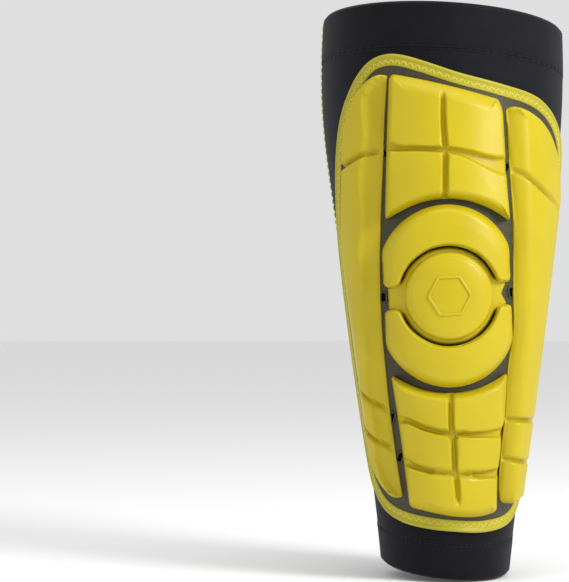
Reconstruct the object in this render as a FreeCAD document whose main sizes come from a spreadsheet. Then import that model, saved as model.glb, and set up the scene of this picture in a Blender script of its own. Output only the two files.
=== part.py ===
import FreeCAD, Part
import math
import os

doc = FreeCAD.newDocument("shinGuard")
V = FreeCAD.Vector
os.makedirs("parts", exist_ok=True)

# driving dimensions in millimetres and degrees
sheet = doc.addObject("Spreadsheet::Sheet", "Dims")
rows = [
    ("knitWall", 0.9, "thickness of the knit"),
    ("foldWall", 0.9, "thickness of the turned-in hem"),
    ("topFold", 21.0, "height of the hem at the calf opening"),
    ("ankleFold", 16.0, "height of the hem at the ankle opening"),
    ("baseTop", 1.0, "top of the fabric base over the knit"),
    ("flangeTop", 2.0, "top of the border over the knit"),
    ("threadTop", 2.4, "top of the border stitching over the knit"),
    ("webTop", 2.2, "top of the film between tiles over the knit"),
    ("tileTop", 8.4, "top of the centre tiles over the knit"),
    ("wingTop", 7.4, "top of the wing tiles over the knit"),
    ("filmWall", 0.8, "film over the foam"),
    ("seamTop", 0.4, "height of the seam thread over the knit"),
    ("hemThreadTop", 0.3, "height of the hem thread over the knit"),
    ("hemThreadWide", 1.6, "width of the hem stitching"),
    ("reach", 95.0, "how far outlines are pushed outward"),
    ("spanWide", 240.0, "size of the trimming blocks"),
    ("ankleCut", 4.0, "height of the ankle opening on the leg axis"),
    ("ankleTiltA", 4.7, "front to back slant of the ankle opening"),
    ("ankleTiltB", 4.6, "side to side slant of the ankle opening"),
    ("calfCut", 258.8, "height of the calf opening on the leg axis"),
    ("calfTiltA", -4.6, "front to back slant of the calf opening"),
    ("calfTiltB", 3.6, "side to side slant of the calf opening"),
    ("discRadius", 19.7, "centre disc"),
    ("ringX", -1.5, "centre of the disc across the leg"),
    ("ringZ", 129.0, "height of the centre of the disc"),
    ("ringClear", 43.6, "radius kept free around the ring"),
    ("ventWide", 2.2, "width of a vent slot"),
    ("ventLong", 4.2, "length of a vent slot"),
]
for i, (name, value, note) in enumerate(rows, 1):
    sheet.set("A%d" % i, note)
    sheet.set("B%d" % i, str(value))
    sheet.setAlias("B%d" % i, name)
doc.recompute()


def dim(name):
    return float(sheet.get(name))


# leg form: height, half width across, half depth, centre behind the shin line
stations = [
    (-10, 28.2, 38.5, -0.3),
    (25, 31.9, 42.4, 0.1),
    (60, 36.3, 46.4, 0.7),
    (95, 41.1, 52.0, 2.9),
    (130, 45.8, 59.4, 8.4),
    (175, 52.0, 64.5, 18.1),
    (220, 56.7, 66.9, 26.6),
    (275, 55.2, 65.5, 26.0),
]
row = len(rows) + 2
for i, (z, a, b, c) in enumerate(stations):
    for k, (tag, value) in enumerate((("high", z), ("half", a), ("deep", b), ("back", c))):
        sheet.set("A%d" % row, "leg station %d %s" % (i, tag))
        sheet.set("B%d" % row, str(value))
        sheet.setAlias("B%d" % row, "%sStation%s" % (tag, "abcdefgh"[i]))
        row += 1
doc.recompute()


def legForm(name, over):
    # smooth solid through one ellipse per station, every radius grown by the expression "over"
    rings = []
    for i, (z, a, b, c) in enumerate(stations):
        letter = "abcdefgh"[i]
        ring = doc.addObject("Part::Ellipse", name + "Ring")
        ring.setExpression("MajorRadius", "Dims.deepStation%s + %s" % (letter, over))
        ring.setExpression("MinorRadius", "Dims.halfStation%s + %s" % (letter, over))
        ring.Placement = FreeCAD.Placement(V(0, c, z), FreeCAD.Rotation(V(0, 0, 1), 90))
        ring.setExpression("Placement.Base.y", "Dims.backStation%s" % letter)
        ring.setExpression("Placement.Base.z", "Dims.highStation%s" % letter)
        rings.append(ring)
    loft = doc.addObject("Part::Loft", name)
    loft.Sections = rings
    loft.Solid = True
    loft.Ruled = False
    loft.Closed = False
    return loft


def boolean(kind, name, *shapes):
    made = doc.addObject("Part::" + kind, name)
    if kind in ("Cut", "Common"):
        made.Base, made.Tool = shapes
    else:
        made.Shapes = list(shapes)
    return made


formHem = legForm("formHem", "(-Dims.knitWall - Dims.foldWall)")
formInner = legForm("formInner", "(-Dims.knitWall)")
formOuter = legForm("formOuter", "0")
formBase = legForm("formBase", "Dims.baseTop")
formFlange = legForm("formFlange", "Dims.flangeTop")
formThread = legForm("formThread", "Dims.threadTop")
formWeb = legForm("formWeb", "Dims.webTop")
formTileCore = legForm("formTileCore", "(Dims.tileTop - Dims.filmWall)")
formTile = legForm("formTile", "Dims.tileTop")
formWingCore = legForm("formWingCore", "(Dims.wingTop - Dims.filmWall)")
formWing = legForm("formWing", "Dims.wingTop")
formSeam = legForm("formSeam", "Dims.seamTop")
formHemThread = legForm("formHemThread", "Dims.hemThreadTop")

layerBase = boolean("Cut", "layerBase", formBase, formOuter)
layerFlange = boolean("Cut", "layerFlange", formFlange, formBase)
layerThread = boolean("Cut", "layerThread", formThread, formFlange)
layerWeb = boolean("Cut", "layerWeb", formWeb, formBase)
layerTile = boolean("Cut", "layerTile", formTile, formBase)
layerTileCore = boolean("Cut", "layerTileCore", formTileCore, formBase)
layerWing = boolean("Cut", "layerWing", formWing, formBase)
layerWingCore = boolean("Cut", "layerWingCore", formWingCore, formBase)
layerSeam = boolean("Cut", "layerSeam", formSeam, formOuter)
layerHemThread = boolean("Cut", "layerHemThread", formHemThread, formOuter)
layerKnit = boolean("Cut", "layerKnit", formOuter, formInner)
layerFold = boolean("Cut", "layerFold", formInner, formHem)


# outlines are drawn in a plane through the leg axis and pushed outward along its normal
def facing(degrees):
    turn = FreeCAD.Rotation(V(0, 0, 1), degrees)
    return FreeCAD.Placement(V(0, 0, 0), turn.multiply(FreeCAD.Rotation(V(1, 0, 0), 90)))


def roundedLoop(points, radius):
    # straight sides joined by tangent arcs at the corners
    corners = []
    count = len(points)
    for i in range(count):
        p = V(points[i][0], points[i][1], 0)
        before = V(points[i - 1][0], points[i - 1][1], 0) - p
        after = V(points[(i + 1) % count][0], points[(i + 1) % count][1], 0) - p
        shortest = min(before.Length, after.Length)
        before.normalize()
        after.normalize()
        half = before.getAngle(after) / 2
        setback = min(radius / math.tan(half), 0.42 * shortest)
        bow = setback * math.tan(half)
        middle = before + after
        if math.pi / 2 - half < 0.02:
            corners.append((p, p, p))
            continue
        middle.normalize()
        centre = p + middle * (bow / math.sin(half))
        corners.append((p + before * setback, centre - middle * bow, p + after * setback))
    edges = []
    for i in range(count):
        start, mid, end = corners[i]
        if (end - start).Length > 1e-6:
            edges.append(Part.Arc(start, mid, end))
        edges.append(Part.LineSegment(end, corners[(i + 1) % count][0]))
    return edges


def prism(name, edges, degrees, reversed=False):
    sketch = doc.addObject("Sketcher::SketchObject", name + "Sketch")
    sketch.Placement = facing(degrees)
    sketch.addGeometry(edges, False)
    push = doc.addObject("Part::Extrusion", name)
    push.Base = sketch
    push.DirMode = "Normal"
    push.Solid = True
    push.Reversed = reversed
    push.setExpression("LengthFwd", "Dims.reach")
    return push


def insetPrism(name, source, degrees):
    # the foam outline: the same outline drawn in by the film's thickness
    ring = doc.addObject("Part::Offset2D", name + "Inset")
    ring.Source = source.Base
    ring.setExpression("Value", "-Dims.filmWall")
    ring.Join = "Intersection"
    push = doc.addObject("Part::Extrusion", name)
    push.Base = ring
    push.DirMode = "Custom"
    push.Dir = facing(degrees).Rotation.multVec(V(0, 0, 1))
    push.Solid = True
    push.setExpression("LengthFwd", "Dims.reach")
    return push


def block(name, size, base, tiltA, tiltB, lift):
    # a wide block whose underside is a slanted cut across the leg
    box = doc.addObject("Part::Box", name)
    box.setExpression("Length", "Dims.spanWide")
    box.setExpression("Width", "Dims.spanWide")
    box.setExpression("Height", size)
    turn = FreeCAD.Rotation(V(1, 0, 0), dim(tiltA)).multiply(FreeCAD.Rotation(V(0, 1, 0), dim(tiltB)))
    half = dim("spanWide") / 2
    box.Placement = FreeCAD.Placement(V(0, 0, dim(base)) + turn.multVec(V(-half, -half, lift)), turn)
    return box


aboveAnkle = block("aboveAnkle", "Dims.spanWide * 2", "ankleCut", "ankleTiltA", "ankleTiltB", 0)
aboveCalf = block("aboveCalf", "Dims.spanWide", "calfCut", "calfTiltA", "calfTiltB", 0)
ankleSlab = block("ankleSlab", "Dims.ankleFold", "ankleCut", "ankleTiltA", "ankleTiltB", 0)
calfSlab = block("calfSlab", "Dims.topFold", "calfCut", "calfTiltA", "calfTiltB", -dim("topFold"))
ankleThreadSlab = block("ankleThreadSlab", "Dims.hemThreadWide", "ankleCut", "ankleTiltA", "ankleTiltB",
                        dim("ankleFold") - 0.5 * dim("hemThreadWide"))
calfThreadSlab = block("calfThreadSlab", "Dims.hemThreadWide", "calfCut", "calfTiltA", "calfTiltB",
                       -dim("topFold") - 0.5 * dim("hemThreadWide"))
sleeveSpan = boolean("Cut", "sleeveSpan", aboveAnkle, aboveCalf)

# side seams: where they run front to back (Y) at each height
lateralSeam = [(26, -15), (26, 5), (31, 60), (36.5, 95), (40.5, 131), (40.5, 165), (39.5, 200), (40, 285)]
medialSeam = [(16, -15), (16, 5), (20, 60), (20, 95), (19, 135), (23, 165), (28, 200), (33, 285)]


def curve(points):
    line = Part.BSplineCurve()
    line.interpolate([V(x, z, 0) for x, z in points])
    return line


def seamRegion(name, seam, reversed):
    # everything in front of the seam on one side
    top, low = seam[-1], seam[0]
    edges = [
        curve(seam),
        Part.LineSegment(V(top[0], top[1], 0), V(-90, top[1], 0)),
        Part.LineSegment(V(-90, top[1], 0), V(-90, low[1], 0)),
        Part.LineSegment(V(-90, low[1], 0), V(low[0], low[1], 0)),
    ]
    return prism(name, edges, 90, reversed)


def seamStrip(name, seam, reversed, half):
    # a narrow band along the seam
    front = [(y - half, z) for y, z in seam]
    back = [(y + half, z) for y, z in seam]
    edges = [
        curve(front),
        Part.LineSegment(V(front[-1][0], front[-1][1], 0), V(back[-1][0], back[-1][1], 0)),
        curve(back),
        Part.LineSegment(V(front[0][0], front[0][1], 0), V(back[0][0], back[0][1], 0)),
    ]
    return prism(name, edges, 90, reversed)


lateralFront = seamRegion("lateralFront", lateralSeam, False)
medialFront = seamRegion("medialFront", medialSeam, True)
frontRegion = boolean("MultiFuse", "frontRegion", lateralFront, medialFront)
lateralStrip = seamStrip("lateralStrip", lateralSeam, False, 1.8)
medialStrip = seamStrip("medialStrip", medialSeam, True, 1.8)

made = []


def keep(obj, name):
    obj.Label = name
    made.append((name, obj))
    return obj


ankleHem = boolean("Common", "ankleHem", layerFold, ankleSlab)
calfHem = boolean("Common", "calfHem", layerFold, calfSlab)
knitCut = boolean("Common", "knitCut", layerKnit, sleeveSpan)
sleeveWhole = boolean("MultiFuse", "sleeveWhole", knitCut, ankleHem, calfHem)
keep(boolean("Common", "frontPanel", sleeveWhole, frontRegion), "sleeve_front_panel")
keep(boolean("Cut", "backPanel", sleeveWhole, frontRegion), "sleeve_back_panel")

seamShort = boolean("Common", "seamShort", layerSeam, sleeveSpan)
keep(boolean("Common", "lateralThread", seamShort, lateralStrip), "lateral_seam_stitching")
keep(boolean("Common", "medialThread", seamShort, medialStrip), "medial_seam_stitching")

seamStrips = boolean("MultiFuse", "seamStrips", lateralStrip, medialStrip)
for label, slab in (("top", calfThreadSlab), ("bottom", ankleThreadSlab)):
    band = boolean("Common", label + "HemBand", layerHemThread, slab)
    clear = boolean("Cut", label + "HemClear", band, seamStrips)
    keep(boolean("Common", label + "HemFront", clear, frontRegion), label + "_hem_stitching_front")
    keep(boolean("Cut", label + "HemBack", clear, frontRegion), label + "_hem_stitching_back")

# edge of the pad: angle round the leg from the shin line and height, lateral side positive
lateralEdge = [(-6, 232.6), (6, 229.2), (24, 225), (40, 221.4), (50, 217.6), (60, 211.5), (69, 203.5), (76, 193),
               (80, 180), (84, 160), (87, 135), (90, 112), (91, 90), (89, 70), (84, 52), (76, 39), (63, 28.4),
               (48, 23.8), (26, 22.1), (4, 22.7), (-6, 23.2)]
medialEdge = [(6, 229.2), (-4, 232.4), (-12, 235.2), (-22, 238.2), (-30, 238.8), (-38, 236.4), (-45, 230.6),
              (-52, 221.6), (-59, 210), (-66, 193), (-73, 173), (-80, 152), (-84, 133), (-87, 112), (-87, 92),
              (-85, 74), (-82, 58), (-76, 44), (-61, 32.4), (-42, 26.7), (-20, 24.1), (-4, 23.2), (6, 22.8)]


def legAt(z):
    # half width, half depth and centre of the leg form between its stations
    for low, high in zip(stations, stations[1:]):
        if z <= high[0]:
            break
    t = (z - low[0]) / (high[0] - low[0])
    return [low[k] + t * (high[k] - low[k]) for k in (1, 2, 3)]


def drawIn(points, inset):
    # move each point of an open edge line towards the pad by inset, measured on the leg surface
    flat = []
    for angle, z in points:
        a, b, c = legAt(z)
        flat.append((math.radians(angle) * (a + b) / 2, z))
    moved = []
    for i, (u, z) in enumerate(flat):
        u0, z0 = flat[max(i - 1, 0)]
        u1, z1 = flat[min(i + 1, len(flat) - 1)]
        long = math.hypot(u1 - u0, z1 - z0)
        nu, nz = (z1 - z0) / long * inset, -(u1 - u0) / long * inset
        if points[len(points) // 2][0] < 0:
            nu, nz = -nu, -nz
        a, b, c = legAt(z + nz)
        moved.append((math.degrees((u + nu) / ((a + b) / 2)), z + nz))
    return moved


def onFacing(points, degrees, over):
    # where leg surface points fall in a facing plane: s = X cos + Y sin
    turn = math.radians(degrees)
    out = []
    for angle, z in points:
        a, b, c = legAt(z)
        t = math.radians(angle)
        x, y = (a + over) * math.sin(t), c - (b + over) * math.cos(t)
        out.append((x * math.cos(turn) + y * math.sin(turn), z))
    return out


def padRegion(name, inset, over):
    # both halves of the pad, each seen from its own side, joined over the shin line
    halves = []
    for tag, points, degrees in (("Lateral", lateralEdge, 45), ("Medial", medialEdge, -45)):
        edge = onFacing(drawIn(points, inset), degrees, over)
        first, last = edge[0], edge[-1]
        past = -9 if degrees > 0 else 9
        line = [last, (last[0] + past, 65), (first[0] + past, 190), first]
        sides = [Part.LineSegment(V(p[0], p[1], 0), V(q[0], q[1], 0)) for p, q in zip(line, line[1:])]
        halves.append(prism(name + tag, [curve(edge)] + sides, degrees))
    return boolean("MultiFuse", name, *halves)


padOuter = padRegion("padOuter", 0, 1.5)
padInner = padRegion("padInner", 5.4, 1.5)
threadOuter = padRegion("threadOuter", 2.2, 2.2)
threadInner = padRegion("threadInner", 4.6, 2.2)

# vent slots in the base: where, on which facing, and their lean
vents = [(-29.6, 193.6, 0, 35), (-30.2, 128.4, 0, 0), (-26.4, 73.8, 0, -15), (-22.6, 56.0, 0, -18),
         (25.6, 187.2, 0, -30), (27.4, 130.6, 0, 5), (24.0, 68.6, 0, 15), (22.0, 49.4, 0, 15)]
slots = []
for i, (x, z, degrees, lean) in enumerate(vents):
    slot = doc.addObject("Part::Box", "ventSlot")
    slot.setExpression("Length", "Dims.ventWide")
    slot.setExpression("Width", "Dims.reach")
    slot.setExpression("Height", "Dims.ventLong")
    turn = FreeCAD.Rotation(V(0, -1, 0), -lean)
    corner = turn.multVec(V(-dim("ventWide") / 2, 0, -dim("ventLong") / 2))
    slot.Placement = FreeCAD.Placement(V(x, -dim("reach"), z) + corner, turn)
    slots.append(slot)
ventSlots = boolean("MultiFuse", "ventSlots", *slots)

baseWhole = boolean("Common", "baseWhole", layerBase, padOuter)
keep(boolean("Cut", "baseSheet", baseWhole, ventSlots), "pad_base_sheet")
borderRegion = boolean("Cut", "borderRegion", padOuter, padInner)
keep(boolean("Common", "border", layerFlange, borderRegion), "border_flange")
threadRegion = boolean("Cut", "threadRegion", threadOuter, threadInner)
keep(boolean("Common", "borderThread", layerThread, threadRegion), "border_zigzag_stitching")

# ring clearance and disc
ringFree = doc.addObject("Part::Cylinder", "ringFree")
ringFree.setExpression("Radius", "Dims.ringClear")
ringFree.setExpression("Height", "Dims.reach")
ringFree.Placement = facing(0)
ringFree.setExpression("Placement.Base.x", "Dims.ringX")
ringFree.setExpression("Placement.Base.z", "Dims.ringZ")

# tile outlines: across the facing plane and height
upperTiles = {
    "medial_top": [(-27.2, 230.5), (-4.7, 225.2), (-4.4, 206), (-3.9, 197.4), (-29.0, 197.4)],
    "lateral_top": [(-2.3, 224.4), (21.8, 218.2), (24.0, 212.5), (24.5, 188.6), (18.6, 189.2), (-1.3, 195.6)],
    "medial_low": [(-29.2, 194.8), (-3.7, 194.8), (-2.9, 178), (-2.9, 160), (-30.2, 155)],
    "lateral_low": [(-1.0, 192.8), (18.2, 186.6), (24.8, 185.8), (27.6, 160), (-0.4, 160)],
}
lowerTiles = {
    "medial_top": [(-27.4, 98), (-0.9, 98), (-0.5, 69.3), (-23.4, 74.4)],
    "lateral_top": [(1.5, 98), (25.4, 98), (24, 71), (2.1, 69)],
    "medial_mid": [(-23.1, 71.8), (-0.4, 66.8), (0.3, 52), (-20.9, 56.6)],
    "lateral_mid": [(2.2, 66.3), (22.3, 67.8), (21.9, 51.4), (2.9, 50.8)],
    "medial_low": [(-20.5, 53.8), (0.4, 49.3), (1.1, 32.2), (-18.3, 34)],
    "lateral_low": [(3, 48.2), (21.2, 48.6), (20.6, 30.4), (3.6, 31.6)],
}
medialWing = {
    "top": [(7.6, 229.6), (3, 228.6), (-3.8, 224.6), (-9.8, 217), (-13.4, 208.6), (-14.8, 199.5),
            (-14.9, 188.2), (-0.7, 193.7), (7.8, 196.3), (7.4, 210)],
    "long": [(-14.9, 185.6), (-0.7, 191.2), (8.2, 194), (8.8, 173), (9.1, 148), (9.3, 127), (9.4, 105),
             (10, 96), (10.7, 78.2), (5.4, 81.3), (-4.7, 87.6), (-13.6, 93), (-16.2, 112), (-16.4, 134),
             (-15.8, 158)],
    "mid": [(-13, 90.2), (-4.7, 84.9), (5.4, 78.7), (10.9, 75.4), (11.9, 62), (7.6, 63.6), (-2.2, 69),
            (-8.6, 72.6), (-11, 80)],
    "low": [(-7.6, 69.4), (-2.2, 66.2), (7.6, 60.8), (12.2, 58.2), (13, 48), (14.2, 37.6), (9.3, 38.4),
            (2.6, 44.2), (-3.2, 54.2)],
}
lateralWing = {
    "top": [(-12.2, 215.4), (-3.7, 213.2), (4.4, 208.8), (10.8, 202.8), (16, 195.6), (19.2, 187.8), (20.4, 178),
            (20.8, 168.4), (8.1, 174.7), (1, 178.2), (-5.9, 182.3), (-12.6, 186.6), (-13.2, 198)],
    "long": [(-12.7, 184), (-5.9, 179.7), (1, 175.6), (8.1, 172.2), (21, 165.6), (22.4, 150), (21.2, 128),
             (17.4, 96.3), (14.2, 73.6), (-9, 73.8), (-14.4, 75), (-14.8, 88), (-14.9, 98), (-13.2, 111),
             (-14.2, 127), (-13.9, 148), (-13.1, 166)],
    "mid": [(-14.4, 72.6), (-8.8, 71), (14, 70.6), (12.8, 54.6), (-8.2, 55.2), (-14.9, 57.2)],
    "low": [(-14.8, 54.6), (-8.2, 52.6), (11.8, 51.8), (10.6, 47.4), (5.8, 41.6), (-1.5, 36.4), (-7.6, 34.6),
            (-12.2, 35.6), (-14, 40)],
}
webs = {
    "upper": [(-27.4, 230.7), (-4.7, 225.4), (21.9, 218.4), (24.1, 213.5), (24.5, 188), (27.4, 158),
              (-30.2, 155), (-29, 196)],
    "lower": [(-27.5, 98), (25.6, 98), (24.2, 70), (22.3, 50), (20.9, 30.3), (1.2, 31.6), (-18.4, 33.9),
              (-21, 55), (-23.5, 73)],
    "medial": [(7.8, 229.9), (3, 228.9), (-4, 224.8), (-10, 217.1), (-13.6, 208.7), (-15, 199.5), (-15.1, 187),
               (-16, 158), (-16.6, 134), (-16.4, 112), (-13.9, 93), (-11.3, 80), (-8, 70), (-3.5, 54.2),
               (2.4, 43.9), (9.2, 38.1), (14.4, 37.3), (14.4, 38.6), (13.3, 48), (12.2, 60), (11.1, 75.4),
               (10.2, 96), (9.6, 105), (9.5, 127), (9.3, 148), (9, 173), (8.1, 196), (7.6, 210)],
    "lateral": [(-12.4, 215.7), (-3.7, 213.5), (4.6, 209.1), (11, 203), (16.3, 195.8), (19.5, 187.8),
                (20.7, 178), (21.2, 168), (22.7, 150), (21.5, 128), (17.7, 96.3), (14.5, 73), (13.1, 54),
                (10.9, 47.3), (6, 41.4), (-1.5, 36.1), (-7.6, 34.3), (-12.4, 35.3), (-14.2, 40), (-15.1, 54),
                (-14.7, 73), (-15.1, 88), (-15.1, 98), (-13.5, 111), (-14.4, 127), (-14.1, 148), (-13.3, 166),
                (-13, 184), (-13.4, 198)],
}


def skinAndCores(name, tiles, web, degrees, layer, coreLayer, corner, clearRing):
    # one moulded film over its foam pieces: web and caps joined, foam taken out
    webPush = prism(name + "Web", roundedLoop(web, 2.0), degrees)
    if clearRing:
        webPush = boolean("Cut", name + "WebClear", webPush, ringFree)
    parts = [boolean("Common", name + "WebFilm", layerWeb, webPush)]
    cores = []
    for tag, points in tiles.items():
        push = prism(name + "Tile", roundedLoop(points, corner), degrees)
        inner = insetPrism(name + "Foam", push, degrees)
        if clearRing and tag in clearRing:
            push = boolean("Cut", name + "TileClear", push, ringFree)
            inner = boolean("Cut", name + "FoamClear", inner, ringFoamFree)
        parts.append(boolean("Common", name + "Cap", layer, push))
        core = boolean("Common", name + "Core", coreLayer, inner)
        cores.append(core)
        keep(core, "%s_foam_%s" % (name, tag))
    return parts, cores


ringFoamFree = doc.addObject("Part::Cylinder", "ringFoamFree")
ringFoamFree.setExpression("Radius", "Dims.ringClear + Dims.filmWall")
ringFoamFree.setExpression("Height", "Dims.reach")
ringFoamFree.Placement = facing(0)
ringFoamFree.setExpression("Placement.Base.x", "Dims.ringX")
ringFoamFree.setExpression("Placement.Base.z", "Dims.ringZ")


def finishSkin(name, parts, cores):
    whole = boolean("MultiFuse", name + "Whole", *parts)
    foam = boolean("MultiFuse", name + "FoamAll", *cores)
    keep(boolean("Cut", name + "Skin", whole, foam), name + "_skin")


finishSkin("upper_block", *skinAndCores("upper_block", upperTiles, webs["upper"], 0, layerTile, layerTileCore,
                                        3.0, ("medial_low", "lateral_low")))
finishSkin("lower_block", *skinAndCores("lower_block", lowerTiles, webs["lower"], 0, layerTile, layerTileCore,
                                        3.0, ("medial_top", "lateral_top")))
finishSkin("medial_wing", *skinAndCores("medial_wing", medialWing, webs["medial"], -52, layerWing, layerWingCore,
                                        2.0, ()))
finishSkin("lateral_wing", *skinAndCores("lateral_wing", lateralWing, webs["lateral"], 52, layerWing,
                                         layerWingCore, 2.0, ()))


# ring: two crescents round a disc, turned a little about its own centre
def ringPlacement():
    turn = facing(0).Rotation.multiply(FreeCAD.Rotation(V(0, 0, 1), 2.8))
    return FreeCAD.Placement(V(dim("ringX"), 0, dim("ringZ")), turn)


def crescentEdges(outer, lift, inner, side, gap, sign):
    # outer arc about a point "lift" beyond the disc's centre, straight end, short foot towards the disc, inner arc
    high = lift + math.sqrt(outer ** 2 - side ** 2)
    foot = math.sqrt(inner ** 2 - gap ** 2)
    p = [V(side, sign * gap, 0), V(side, sign * high, 0), V(-side, sign * high, 0), V(-side, sign * gap, 0),
         V(-foot, sign * gap, 0), V(foot, sign * gap, 0)]
    return [
        Part.LineSegment(p[0], p[1]),
        Part.Arc(p[1], V(0, sign * (lift + outer), 0), p[2]),
        Part.LineSegment(p[2], p[3]),
        Part.LineSegment(p[3], p[4]),
        Part.Arc(p[4], V(0, sign * inner, 0), p[5]),
        Part.LineSegment(p[5], p[0]),
    ]


ringParts = []
ringCores = []
# film round the disc, with a neck on each side
neck = [V(27, -5.4, 0), V(27, 5.4, 0), V(22.36, 5.4, 0), V(-22.36, 5.4, 0), V(-27, 5.4, 0), V(-27, -5.4, 0),
        V(-22.36, -5.4, 0), V(22.36, -5.4, 0)]
ringWebEdges = [
    Part.LineSegment(neck[0], neck[1]),
    Part.LineSegment(neck[1], neck[2]),
    Part.Arc(neck[2], V(0, 23, 0), neck[3]),
    Part.LineSegment(neck[3], neck[4]),
    Part.LineSegment(neck[4], neck[5]),
    Part.LineSegment(neck[5], neck[6]),
    Part.Arc(neck[6], V(0, -23, 0), neck[7]),
    Part.LineSegment(neck[7], neck[0]),
]
webPush = prism("ringWeb", ringWebEdges, 0)
webPush.Base.Placement = ringPlacement()
ringParts.append(boolean("Common", "ringWebFilm", layerWeb, webPush))
for tag, sign in (("upper", 1), ("lower", -1)):
    push = prism("crescent", crescentEdges(30.7, 10.3, 22.6, 28.6, 5.0, sign), 0)
    push.Base.Placement = ringPlacement()
    ringParts.append(boolean("Common", "crescentCap", layerTile, push))
    inner = insetPrism("crescentFoam", push, 0)
    core = boolean("Common", "crescentCore", layerTileCore, inner)
    ringCores.append(core)
    keep(core, "ring_foam_crescent_" + tag)
for tag, shrink, layer in (("Cap", "0", layerTile), ("Foam", "Dims.filmWall", layerTileCore)):
    disc = doc.addObject("Part::Cylinder", "disc" + tag)
    disc.setExpression("Radius", "Dims.discRadius - " + shrink)
    disc.setExpression("Height", "Dims.reach")
    disc.Placement = ringPlacement()
    piece = boolean("Common", "disc" + tag + "Piece", layer, disc)
    if tag == "Cap":
        ringParts.append(piece)
    else:
        ringCores.append(piece)
        keep(piece, "ring_foam_disc")
finishSkin("ring", ringParts, ringCores)

doc.recompute()

for obj in doc.Objects:
    if "Invalid" in obj.State or "Error" in obj.State:
        raise RuntimeError("bad object " + obj.Label + " " + str(obj.State))
for name, obj in made:
    shape = obj.Shape
    if shape.isNull() or not shape.isValid():
        raise RuntimeError("bad shape " + name)
    print(name, len(shape.Solids), round(shape.Volume, 1))
for name, obj in made:
    obj.Shape.exportStep("parts/" + name + ".step")
print("parts", len(made))
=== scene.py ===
import bpy
import math
import numpy as np
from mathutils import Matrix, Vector


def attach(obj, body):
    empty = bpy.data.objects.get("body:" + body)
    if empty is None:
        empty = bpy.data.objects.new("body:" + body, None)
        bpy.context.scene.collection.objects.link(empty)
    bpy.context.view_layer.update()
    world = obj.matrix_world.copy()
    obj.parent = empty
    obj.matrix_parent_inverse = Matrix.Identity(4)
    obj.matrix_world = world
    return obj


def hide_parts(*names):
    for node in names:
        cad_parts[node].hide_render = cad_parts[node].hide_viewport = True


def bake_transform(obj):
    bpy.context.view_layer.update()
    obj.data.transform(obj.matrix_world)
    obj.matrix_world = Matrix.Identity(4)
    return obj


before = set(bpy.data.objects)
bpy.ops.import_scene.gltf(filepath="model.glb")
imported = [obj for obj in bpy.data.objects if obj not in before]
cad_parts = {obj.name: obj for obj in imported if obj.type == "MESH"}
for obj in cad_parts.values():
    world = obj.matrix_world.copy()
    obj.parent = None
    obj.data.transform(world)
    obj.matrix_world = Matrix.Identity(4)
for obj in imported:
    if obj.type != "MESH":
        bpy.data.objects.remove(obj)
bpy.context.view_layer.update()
toMetres = 0.001  # every size below is in millimetres until it reaches a mesh

legForm = {
    "height": [-10, 25, 60, 95, 130, 175, 220, 275],
    "half": [28.2, 31.9, 36.3, 41.1, 45.8, 52.0, 56.7, 55.2],    # half width across
    "deep": [38.5, 42.4, 46.4, 52.0, 59.4, 64.5, 66.9, 65.5],    # half depth front to back
    "back": [-0.3, 0.1, 0.7, 2.9, 8.4, 18.1, 26.6, 26.0],        # centre behind the shin
}
ankleCut = {"lift": 4.0, "alongY": 0.0822, "alongX": -0.0805}
calfCut = {"lift": 258.8, "alongY": -0.0805, "alongX": -0.0629}


def cubicThrough(x, y):
    # natural cubic: bends at the points come from the three-term system, then one cubic per span
    x, y = np.asarray(x, float), np.asarray(y, float)
    n = len(x)
    gap, rise = np.diff(x), np.diff(y)
    system = np.eye(n)
    side = np.zeros(n)
    inner = np.arange(1, n - 1)
    system[inner, inner - 1] = gap[:-1]
    system[inner, inner] = 2 * (gap[:-1] + gap[1:])
    system[inner, inner + 1] = gap[1:]
    side[inner] = 6 * (rise[1:] / gap[1:] - rise[:-1] / gap[:-1])
    bend = np.linalg.solve(system, side)

    def value(at):
        at = np.asarray(at, float)
        i = np.clip(np.searchsorted(x, at) - 1, 0, n - 2)
        h, p, q = gap[i], at - x[i], x[i + 1] - at
        return ((bend[i] * q ** 3 + bend[i + 1] * p ** 3) / (6 * h)
                + (y[i] / h - bend[i] * h / 6) * q + (y[i + 1] / h - bend[i + 1] * h / 6) * p)
    return value


halfAt = cubicThrough(legForm["height"], legForm["half"])
deepAt = cubicThrough(legForm["height"], legForm["deep"])
backAt = cubicThrough(legForm["height"], legForm["back"])


def legPoint(angle, z, over):
    # ellipse at height z grown by over; angle 0 is the shin line, positive towards +X
    a, b = halfAt(z) + over, deepAt(z) + over
    return np.stack(np.broadcast_arrays(a * np.sin(angle), backAt(z) - b * np.cos(angle), z), -1)


def facingAngle(s, z, over, facing):
    # the line s = x cos f + y sin f meets the grown ellipse where sin(angle - lean) = (s - back sin f) /
    # reach
    a, b = halfAt(z) + over, deepAt(z) + over
    f = math.radians(facing)
    reach = np.hypot(a * math.cos(f), b * math.sin(f))
    lean = np.arctan2(b * math.sin(f), a * math.cos(f))
    return lean + np.arcsin(np.clip((s - backAt(z) * math.sin(f)) / reach, -1, 1))


def facingPoint(flat, over, facing):
    # a point of a facing plane carried along the facing direction to the grown leg form
    s, z = flat[..., 0], flat[..., 1]
    return legPoint(facingAngle(s, z, over, facing), z, over)


def gridFaces(rows, cols, closeRows, closeCols, base=0):
    # quads between neighbours of a rows x cols grid of points
    i = np.arange(rows if closeRows else rows - 1)[:, None]
    j = np.arange(cols if closeCols else cols - 1)[None, :]
    i2, j2 = (i + 1) % rows, (j + 1) % cols
    quads = np.stack([i * cols + j, i * cols + j2, i2 * cols + j2, i2 * cols + j], -1)
    return (quads.reshape(-1, 4) + base).tolist()


def joined(shells):
    # several closed shells as one point array and one face list
    points, faces, start = [], [], 0
    for p, f in shells:
        points.append(p)
        faces += [[k + start for k in face] for face in f]
        start += len(p)
    return np.concatenate(points), faces


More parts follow.
